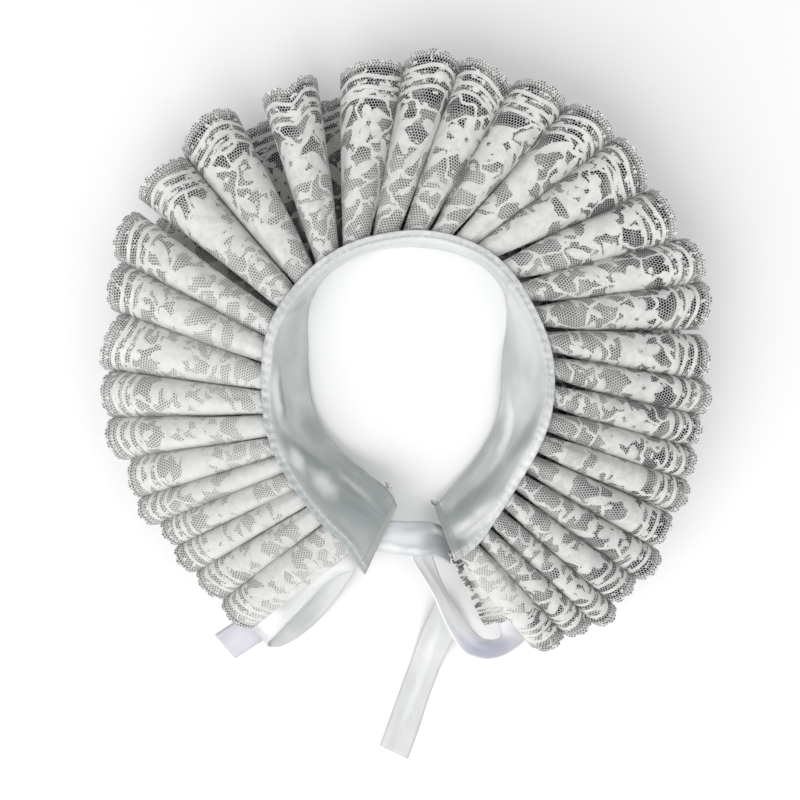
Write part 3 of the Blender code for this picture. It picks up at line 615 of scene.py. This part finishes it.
def satin_material(name, low, high, dark, light, painted_highlights=(), dark_spots=(), strip=False):
    """Satin with fine lengthwise threads. Spots are ellipses in the cloth's own sizes, of painted highlight and
    painted shade.
    """
    g = Graph(name)
    flat = g.put("ShaderNodeUVMap", uv_map="flat")
    along = g.put("ShaderNodeSeparateXYZ", (flat,))
    across = along.node.outputs[1]
    streak = g.noise(g.vec("MULTIPLY", flat, (0.05, 2.4, 0.0)), 1.0, 3.0, 0.6)
    cloud = g.noise(g.vec("MULTIPLY", flat, (0.06, 0.10, 0.0)), 1.0, 1.0)
    base = g.mix(g.ramp(cloud, 0.30, 0.72), low, high)
    drift = g.vec("MULTIPLY_ADD", g.put("ShaderNodeTexNoise", {"Vector": flat, "Scale": 0.12, "Detail": 1.0}, out=1),
                  (6.0, 3.0, 0.0), (-3.0, -1.5, 0.0))
    bent = g.vec("ADD", flat, drift)
    # the dark spots are painted shade and the pale spots painted highlights; the light colour serves the painted
    # highlights and glints, and also the pale threads
    for spots, colour in ((dark_spots, dark), (painted_highlights, light)):
        if spots:
            near = g.most([g.math("MULTIPLY", g.ramp(g.ellipse(bent, *row[:5]), 1.35, 0.25), row[5]) for row in spots])
            base = g.mix(near, base, colour)
    base = g.mix(g.math("MULTIPLY", g.ramp(streak, 0.45, 0.75), 0.16), base, light)
    rough = g.ramp(streak, 0.2, 0.8, 0.34, 0.48)
    if strip:  # the gathered strip along the seam is crushed; it has painted glints, and painted shade towards the band's left front end
        crush = g.noise(g.vec("MULTIPLY", flat, (0.42, 0.55, 0.0)), 1.0, 1.0, 0.5)
        edge = g.ramp(across, 3.6, 2.4)
        base = g.mix(g.math("MULTIPLY", edge, g.ramp(along, 150.0, 30.0, 0.0, 0.6)), base, dark)
        painted_glint = g.math("MULTIPLY", g.ramp(crush, 0.45, 0.72, 0.0, 0.35), g.ramp(along, 30.0, 90.0, 0.1, 1.0))
        base = g.mix(g.math("MULTIPLY", edge, painted_glint), base, light)
        first, last = HEM_FOLDS
        hems = g.math("MAXIMUM", g.ramp(along, first + 0.4, first - 0.2), g.ramp(along, last - 0.2, last + 0.4))
        base = g.mix(g.math("MULTIPLY", hems, 0.55), base, (0.33, 0.335, 0.305, 1))
        # a line of painted shade in the creases at the hem folds
        fold = g.math("ABSOLUTE", g.math("SUBTRACT", g.math("PINGPONG", g.math("SUBTRACT", along, 0.1), 180.0), 3.9))
        base = g.mix(g.ramp(fold, 0.55, 0.15, 0.0, 0.55), base, dark)
    g.link(base, "Base Color")
    g.link(rough, "Roughness")
    g.shader.inputs["Specular IOR Level"].default_value = 0.65
    g.shader.inputs["Sheen Weight"].default_value = 0.12
    weave = g.math("SINE", g.math("MULTIPLY", across, 9.0))
    crumple = g.noise(g.vec("MULTIPLY", flat, (0.16, 0.25, 0.0)), 1.0, 2.0, 0.45)
    height = g.math("ADD", g.math("MULTIPLY", weave, 0.03), g.math("MULTIPLY", crumple, 0.9))
    height = g.math("ADD", height, g.math("MULTIPLY", streak, 0.10))
    if strip:
        height = g.math("ADD", height, g.math("MULTIPLY", g.math("MULTIPLY", edge, crush), 0.5))
    g.bump(height, 0.30, 0.0006)
    return g.material


def thread_material(name, low, high):
    g = Graph(name)
    where = g.put("ShaderNodeTexCoord", out=3)
    twist = g.noise(where, 4000.0, 2.0)
    g.link(g.mix(twist, low, high), "Base Color")
    g.shader.inputs["Roughness"].default_value = 0.6
    g.bump(twist, 0.4, 0.0002)
    return g.material


def floor_material():
    g = Graph("pale_floor")
    where = g.put("ShaderNodeTexCoord", out=3)
    tone = g.noise(where, 3.0, 2.0)
    g.link(g.mix(tone, (0.90, 0.90, 0.895, 1), (0.925, 0.925, 0.92, 1)), "Base Color")
    g.shader.inputs["Roughness"].default_value = 0.9
    return g.material


lace_cloth = lace_material()
# the band's tones, like each tie's, are set lighter or darker piece by piece as painted light and shade on one satin;
# its spots are painted highlights and painted shade
band_satin = satin_material(
    "satin_band", (0.44, 0.465, 0.46, 1), (0.54, 0.555, 0.55, 1), (0.25, 0.28, 0.275, 1), (0.88, 0.88, 0.87, 1),
    painted_highlights=((54.0, 8.0, 6.5, 3.2, 0, 0.65), (37.6, 12.0, 8.0, 4.8, 0, 0.65), (26.0, 21.5, 14.0, 1.7, 0, 0.3),
                (83.0, 6.4, 12.0, 2.4, -5, 0.8), (79.0, 21.0, 9.0, 5.0, 0, 0.2), (301.0, 21.0, 20.0, 3.4, -11, 0.75),
                (343.0, 7.5, 17.0, 4.0, 18, 0.9), (183.0, 12.0, 48.0, 20.0, 0, 0.4), (190.0, 6.0, 40.0, 4.0, 0, 0.4),
                (355.5, 28.0, 4.0, 1.4, 0, 0.4), (100.0, 2.5, 22.0, 1.6, 0, 0.5), (312.0, 2.0, 26.0, 2.0, 0, 0.5),
                (250.0, 12.0, 26.0, 12.0, 0, 0.4), (286.0, 15.0, 14.0, 10.0, 0, 0.3)),
    dark_spots=((52.0, 13.0, 20.0, 4.6, -29, 1.0), (20.0, 18.0, 42.0, 17.0, 0, 0.85), (24.0, 28.0, 30.0, 3.4, 0, 0.8),
                (64.0, 25.0, 14.0, 8.0, 0, 0.65),
                (84.0, 9.9, 11.0, 1.8, -5, 0.8), (15.0, 8.0, 9.0, 5.0, 0, 0.3), (1.5, 15.0, 1.8, 16.0, 0, 0.6),
                (338.0, 16.0, 25.0, 5.4, 12, 0.9), (303.0, 8.0, 19.0, 3.8, 11, 0.75), (316.0, 28.0, 20.0, 3.0, 0, 0.4),
                (355.0, 4.6, 3.8, 3.6, 0, 0.8), (258.0, 20.0, 12.0, 6.0, 0, 0.35), (358.6, 15.0, 1.8, 16.0, 0, 0.55)),
    strip=True)
# white is the ties' colour for painted highlights and pale threads; the lilac and grey colours are for painted shade
WHITE, LILAC_SHADE, SHADE = (0.93, 0.93, 0.93, 1), (0.56, 0.56, 0.74, 1), (0.40, 0.425, 0.43, 1)
# Each tie's satin: from and to, set lighter or darker piece by piece as painted light and shade; its colour of painted
# shade; painted highlights; painted shade spots; then its folds
TIES = {
    "tie_bridge": ((0.56, 0.57, 0.60, 1), (0.66, 0.665, 0.675, 1), SHADE,
                   ((5.0, 10.8, 9.0, 1.7, 0, 0.9), (28.5, 3.4, 4.0, 1.1, 8, 1.0), (17.0, 11.6, 7.0, 1.1, 0, 0.6)),
                   ((16.0, 1.5, 13.0, 2.6, 0, 0.6), (33.0, 6.0, 3.0, 8.0, 0, 0.3)),
                   ((2, 9.0, 18, 8.5, 1.3, 0.7), (4, 5.5, 30, 3.0, 1.6, -0.5), (22, 5.0, 34, 2.2, 0.9, 0.5),
                    (24, 3.0, 33, 0.8, 0.7, -0.4), (14, 11.5, 30, 9.5, 1.2, -0.4))),
    "tie_left_loop": ((0.54, 0.545, 0.55, 1), (0.61, 0.615, 0.615, 1), (0.36, 0.375, 0.37, 1),
                      ((49.5, 6.0, 6.0, 8.0, 0, 0.5), (20.0, 9.5, 13.0, 1.8, 0, 0.3), (30.0, 2.0, 12.0, 1.4, 0, 0.25)),
                      ((68.0, 6.0, 10.0, 8.0, 0, 0.55), (82.0, 6.0, 14.0, 8.0, 0, 0.7), (58.0, 6.0, 3.0, 8.0, 0, 0.4)),
                      ((8, 6.0, 36, 8.0, 1.6, 0.5), (12, 2.0, 46, 3.5, 1.4, -0.5), (34, 10.5, 48, 7.0, 1.4, 0.4),
                       (72, 3.0, 102, 4.0, 1.5, -0.5), (76, 9.0, 98, 8.0, 1.4, 0.4))),
    "tie_left_tail": ((0.50, 0.49, 0.555, 1), (0.58, 0.575, 0.62, 1), LILAC_SHADE, ((9.0, 6.0, 8.0, 3.0, 0, 0.25),),
                      ((22.0, 6.0, 9.0, 7.0, 0, 0.4),), ((1, 3.0, 28, 5.5, 1.3, 0.4), (3, 9.5, 30, 8.0, 1.5, -0.4))),
    "tie_right_loop": ((0.84, 0.845, 0.86, 1), (0.90, 0.90, 0.905, 1), LILAC_SHADE,
                       ((22.0, 3.0, 18.0, 2.4, 0, 0.7), (36.0, 9.0, 10.0, 2.0, 0, 0.5)),
                       ((56.0, 6.0, 12.0, 8.0, 0, 0.75), (78.0, 6.0, 9.0, 8.0, 0, 0.35)),
                       ((3, 5.0, 34, 7.5, 1.4, 0.5), (6, 10.0, 30, 11.0, 1.1, -0.4), (30, 3.0, 52, 5.5, 1.5, -0.5),
                        (40, 9.5, 60, 7.0, 1.4, 0.4), (78, 3.0, 98, 5.0, 1.4, 0.4))),
    "tie_right_tail": ((0.54, 0.545, 0.545, 1), (0.60, 0.60, 0.595, 1), (0.42, 0.43, 0.45, 1),
                       ((30.0, 7.0, 22.0, 2.2, 0, 0.35),),
                       ((10.0, 6.0, 12.0, 7.0, 0, 0.3), (60.0, 4.0, 8.0, 3.0, 0, 0.25)),
                       ((4, 4.0, 40, 5.0, 1.8, 0.5), (20, 9.5, 56, 8.5, 1.6, -0.5), (48, 3.0, 68, 4.0, 1.6, 0.4))),
}
thread = thread_material("sewing_thread", (0.62, 0.62, 0.60, 1), (0.84, 0.84, 0.82, 1))
frayed = thread_material("frayed_thread", (0.20, 0.20, 0.19, 1), (0.42, 0.42, 0.40, 1))


# ---------------------------------------------------------------- lace

def lace():
    columns, wave, valley = frill()
    rows = np.linspace(0, 1, LACE_ROWS)
    outer = lengths(columns[:, int(LACE_ROWS * 0.9)])
    crest = np.rint(wave).clip(0, len(FLUTES) - 1)
    phase = np.abs(wave - crest) * 2
    # crinkles of the gathered neck edge, soft on the crests and deep where they are hidden
    crinkle = np.sin(outer * 2 * math.pi / 8.1 + 1.7 * np.sin(outer * 0.31))[:, None] * (1 - smooth(0.1, 0.85, rows))
    deep = smooth(0.25, 0.7, phase) * ((wave > 0) & (wave < len(FLUTES) - 0.72))
    crinkle = crinkle * (0.16 + 1.5 * deep)[:, None]
    columns = columns + normals_of(columns) * crinkle[..., None]
    crest_column = np.array([np.argmin(np.abs(wave - c)) for c in range(len(FLUTES))])
    mine = crest_column[crest.astype(int)]
    flat = np.zeros(columns.shape[:2] + (2,))
    weight = smooth(0.35, 0.95, phase)
    for r in range(LACE_ROWS):
        own = lengths(columns[:, r])
        flat[:, r, 0] = (1 - weight) * (outer[mine] + own - own[mine]) + weight * outer
        flat[:, r, 1] = (1 - rows[r]) * LACE_WIDTH
    side = np.array([14.0 + 0.55 * f[3] for f in FLUTES])
    folds = []
    for i, place, r0, r1, width, depth in LACE_FOLDS:
        middle = outer[crest_column[i]]
        folds.append((middle + place * side[i], (1 - r0) * LACE_WIDTH, middle + place * side[i] * 1.1,
                      (1 - r1) * LACE_WIDTH, width, depth))
    columns = creased(columns, flat[..., 0], flat[..., 1], folds)
    # painted shade in the holes, by flute: darkest where the frill's hollows lie behind them, pale where cloth does
    around = np.interp(crest, (0, 6, 11, 14, 19, 33), (0.52, 0.52, 0.84, 1.0, 1.0, 0.92))[:, None]
    inner = np.interp(crest, (0, 5, 9, 12, 20, 33), (0.42, 0.30, 0.30, 0.45, 0.64, 0.60))[:, None]
    # how much of the cloth is net, which also greys its thread as painted shade; more in the valleys between flutes
    net_and_shade = np.interp(crest, (0, 1.5, 4, 9, 12, 20, 24, 29, 33),
                     (-0.2, 0.4, 0.55, 0.8, 1.15, 1.0, 1.3, 1.25, 0.8))[:, None] + 0 * rows[None]
    net_and_shade = np.maximum(net_and_shade, 1.4 * smooth(0.5, 0.7, phase)[:, None] - 0.4)
    net_and_shade = np.where((wave > len(FLUTES) - 0.75)[:, None], -0.7, net_and_shade)
    # on the left the painted hole shade begins further out
    paler = np.interp(crest, (0, 9, 14, 33), (0.20, 0.18, 0.0, 0.0))[:, None]
    hole_shade_at = inner + (1 - inner) * smooth(0.30, 0.80, rows[None] - paler)
    # less painted hole shade on the flutes' sides
    hole_shade_at = hole_shade_at * around * (1 - 0.55 * smooth(0.22, 0.42, phase))[:, None]
    # painted shade in the holes deep in the valleys between flutes, stronger past the tenth flute
    hole_shade_at = np.maximum(hole_shade_at, (smooth(0.55, 0.75, phase) * np.where(crest > 10, 1.0, 0.6))[:, None])
    # less painted hole shade where a ribbon lies close behind the lace beside the bow
    for (x0, y0), (x1, y1), near in (((31, -78), (43, -108), 7.0), ((-27, -74), (-62, -103), 8.0)):
        _, off = from_line(columns[..., 0], columns[..., 1], x0, y0, x1, y1)
        hole_shade_at = hole_shade_at * (0.12 + 0.88 * smooth(near * 0.8, near * 1.3, off))
    first = 0
    for name, last in STRETCHES:
        stop = valley[last] if last < len(FLUTES) - 1 else len(columns) - 1
        part = slice(first, stop + 1)
        obj = sheet_mesh(name + "_cloth", columns[part], flat[part], LACE_THICK, lace_cloth,
                         {"painted_hole_shade": hole_shade_at[part], "net_and_shade": net_and_shade[part]})
        dress(obj, name)
        trim = picots(name + "_picots", columns[part], outer[part])
        dress(trim)
        first = stop


def picots(name, columns, outer):
    """The narrow net edge with its row of tiny scallops and their worked rim, along the frill's outer edge."""
    edge, before = columns[:, -1], columns[:, -2]
    away = edge - before
    away /= np.linalg.norm(away, axis=1, keepdims=True)
    at = np.arange(outer[0], outer[-1], PICOT_STEP)
    line = np.stack([np.interp(at, outer, edge[:, i]) for i in range(3)], axis=1)
    out = np.stack([np.interp(at, outer, away[:, i]) for i in range(3)], axis=1)
    reach = 0.15 + 0.5 * np.abs(np.sin(np.pi * at / 1.65)) ** 0.8 + 0.9 * np.abs(np.sin(np.pi * at / 5.4)) ** 0.7
    ahead = np.stack([0 * reach - 0.5, 0 * reach + 0.1, 0.1 + np.maximum(reach - 0.32, 0.02), 0.1 + reach], axis=1)
    grid = line[:, None] + ahead[..., None] * out[:, None]
    flat = np.stack([at[:, None] + 0 * ahead, -ahead], axis=-1)
    rim = np.zeros(ahead.shape) + np.array([0.0, 0.0, 0.0, 1.0])
    # the edge's holes get an even painted shade
    return sheet_mesh(name, grid, flat, PICOT_THICK, lace_cloth,
                      {"painted_hole_shade": 0 * rim + 0.55, "rim": rim, "net_and_shade": 0 * rim - 0.4})


# ---------------------------------------------------------------- satin

def neckband():
    table = np.array(NECKLINE)
    angles = np.linspace(table[0, 0], table[-1, 0], BAND_COLUMNS)
    seam, inward = seam_line(angles)
    along = lengths(seam)
    lean = np.radians(through(table[:, 0], table[:, 2], angles))
    slant = np.radians(through(table[:, 0], table[:, 3], angles))
    inward = np.stack([inward[:, 0] * np.cos(slant) - inward[:, 1] * np.sin(slant),
                       inward[:, 0] * np.sin(slant) + inward[:, 1] * np.cos(slant)], axis=1)
    turned = eased(np.unwrap(np.arctan2(inward[:, 1], inward[:, 0])), EASE_REACH)
    inward, lean = np.stack([np.cos(turned), np.sin(turned)], axis=1), eased(lean, EASE_REACH)
    across = np.concatenate([np.linspace(0, BAND_FLAT, 8)[:-1], np.linspace(BAND_FLAT, BAND_WIDTH, 26)])
    grid = np.zeros((len(angles), len(across), 3))
    for i, (at, towards, drop) in enumerate(zip(seam, inward, lean)):
        bend = BAND_BEND * drop
        for j, u in enumerate(across):
            turn = np.clip((u - BAND_FLAT) / max(bend, 1e-6), 0, 1) * drop
            x = min(u, BAND_FLAT) + BAND_BEND * math.sin(turn)
            z = -BAND_BEND * (1 - math.cos(turn))
            left = max(0.0, u - BAND_FLAT - bend)
            grid[i, j] = (*(at + towards * (x + left * math.cos(drop))), BAND_HEIGHT + z - left * math.sin(drop))
    s, u = np.meshgrid(along, across, indexing="ij")
    # the sewn strip puckers between its stitches, and a groove lies along the stitching
    pucker = np.sin(s * 2 * math.pi / 3.9 + 1.3 * np.sin(s * 0.21) + u * 0.5) * (0.75 + 0.25 * np.sin(s * 0.47))
    pucker = pucker * (1 - smooth(1.2, 5.0, u))
    groove = -0.5 * np.exp(-((u - STITCH_LINE) / 0.6) ** 2)
    grid = grid + normals_of(grid) * (0.30 * pucker + groove)[..., None]
    grid = creased(grid, s, u, BAND_FOLDS)
    obj = sheet_mesh("neckband_satin", grid, np.stack([s, u], axis=-1), SATIN_THICK, band_satin)
    dress(obj, "neckband")
    extras = [stitches(grid, s, u), tuft("thread_tuft_left", grid[9, -1], inward[9], 5),
              tuft("thread_tuft_right", grid[-1, -1], inward[-1], 11)]
    for extra in extras:
        dress(extra)


def stitches(grid, s, u):
    """Short hand stitches that hold the band to the lace, in the groove along its edge."""
    normal = normals_of(grid)
    normal *= np.sign(normal[:, :, 2:3].sum())
    row = int(np.argmin(np.abs(u[0] - STITCH_LINE)))
    line, up, along = grid[:, row], normal[:, row], s[:, row]
    paths, at, k = [], 2.0, 0
    while at < along[-1] - 3.5:
        long = 1.7 + 0.5 * math.sin(k * 2.1)
        path = []
        for part in np.linspace(0, 1, 6):
            here = at + part * long
            p = np.array([np.interp(here, along, line[:, c]) for c in range(3)])
            n = np.array([np.interp(here, along, up[:, c]) for c in range(3)])
            path.append(p + n * (0.12 + 0.26 * math.sin(math.pi * part)))
        paths.append(path)
        at += 3.1 + 0.5 * math.sin(k * 1.3)
        k += 1
    return threads_mesh("band_stitches", paths, 0.15, thread)


def tuft(name, at, towards, seed):
    """A few frayed thread ends."""
    paths = []
    for k in range(7):
        a = math.atan2(towards[1], towards[0]) + 0.9 * math.sin(seed + 2.3 * k)
        long = 1.8 + 1.1 * abs(math.sin(seed + 1.1 * k))
        bend = 0.8 * math.sin(seed * 2 + 1.7 * k)
        path = []
        for part in np.linspace(0, 1, 7):
            turn = a + bend * part
            path.append((at[0] + part * long * math.cos(turn) - 0.3 * math.cos(a),
                         at[1] + part * long * math.sin(turn) - 0.3 * math.sin(a),
                         at[2] + 0.25 + 0.5 * math.sin(part * 2.2 + k) * part))
        paths.append(path)
    return threads_mesh(name, paths, 0.16, frayed)


def tie(name, rows, steps):
    low, high, dark, painted_highlights, dark_spots, folds = TIES[name]
    satin = satin_material(name.replace("tie", "satin"), low, high, dark, WHITE, painted_highlights, dark_spots)
    rows = np.array(rows)
    places = np.arange(len(rows))
    at = np.linspace(0, len(rows) - 1, steps)
    points = np.stack([through(places, rows[:, c], at) for c in range(6)], axis=1)
    left, right = points[:, None, :3], points[:, None, 3:]
    share = np.linspace(0, 1, TIE_COLUMNS)[None, :, None]
    grid = left + (right - left) * share
    middle = lengths(grid[:, TIE_COLUMNS // 2])
    width = np.linalg.norm(right - left, axis=2).mean()
    s, w = np.meshgrid(middle, share.ravel() * width, indexing="ij")
    grid = creased(grid, s, w, folds)
    obj = sheet_mesh(name + "_satin", grid, np.stack([s, w], axis=-1), SATIN_THICK, satin)
    dress(obj, name)


lace()
neckband()
tie("tie_bridge", TIE_BRIDGE, 40)
tie("tie_left_loop", TIE_LEFT_LOOP, 110)
tie("tie_left_tail", TIE_LEFT_TAIL, 30)
tie("tie_right_loop", TIE_RIGHT_LOOP, 120)
tie("tie_right_tail", TIE_RIGHT_TAIL, 60)


# ---------------------------------------------------------------- floor, light, camera

def floor():
    mesh = bpy.data.meshes.new("floor")
    r = 3.0
    mesh.from_pydata([(-r, -r, 0), (r, -r, 0), (r, r, 0), (-r, r, 0)], [], [(0, 1, 2, 3)])
    mesh.materials.append(floor_material())
    obj = bpy.data.objects.new("floor", mesh)
    bpy.context.scene.collection.objects.link(obj)


def softbox(name, at, size, watts):
    light = bpy.data.lights.new(name, "AREA")
    light.energy, light.size = watts, size
    obj = bpy.data.objects.new(name, light)
    obj.location = at
    away = np.array(at)
    obj.rotation_euler = (math.atan2(math.hypot(away[0], away[1]), away[2]), 0.0,
                          math.atan2(away[1], away[0]) + math.pi / 2)
    bpy.context.scene.collection.objects.link(obj)


floor()
softbox("key_light", (-0.42, -0.66, 0.80), 1.1, 10.0)
softbox("fill_light", (0.75, -0.1, 1.15), 0.9, 3.0)
world = bpy.data.worlds.new("studio")
bpy.context.scene.world = world
world.use_nodes = True
sky = world.node_tree.nodes["Background"]
sky.inputs["Color"].default_value = (0.98, 0.99, 1.0, 1)
sky.inputs["Strength"].default_value = 0.64

# straight above, where 430 mm of distance show 320 mm across
SENSOR, SIGHT_FROM, SIGHT_WIDTH = 36.0, 430.0, 320.0
CAMERA_OVER, CAMERA_HEIGHT = (-0.00255, 0.00762), 0.45
camera = bpy.data.objects.new("camera", bpy.data.cameras.new("camera"))
camera.location = (*CAMERA_OVER, CAMERA_HEIGHT)
camera.data.sensor_width = SENSOR
camera.data.lens = SENSOR * SIGHT_FROM / SIGHT_WIDTH
camera.data.clip_start = 0.01
bpy.context.scene.collection.objects.link(camera)
bpy.context.scene.camera = camera
bpy.context.scene.view_settings.view_transform = "Standard"
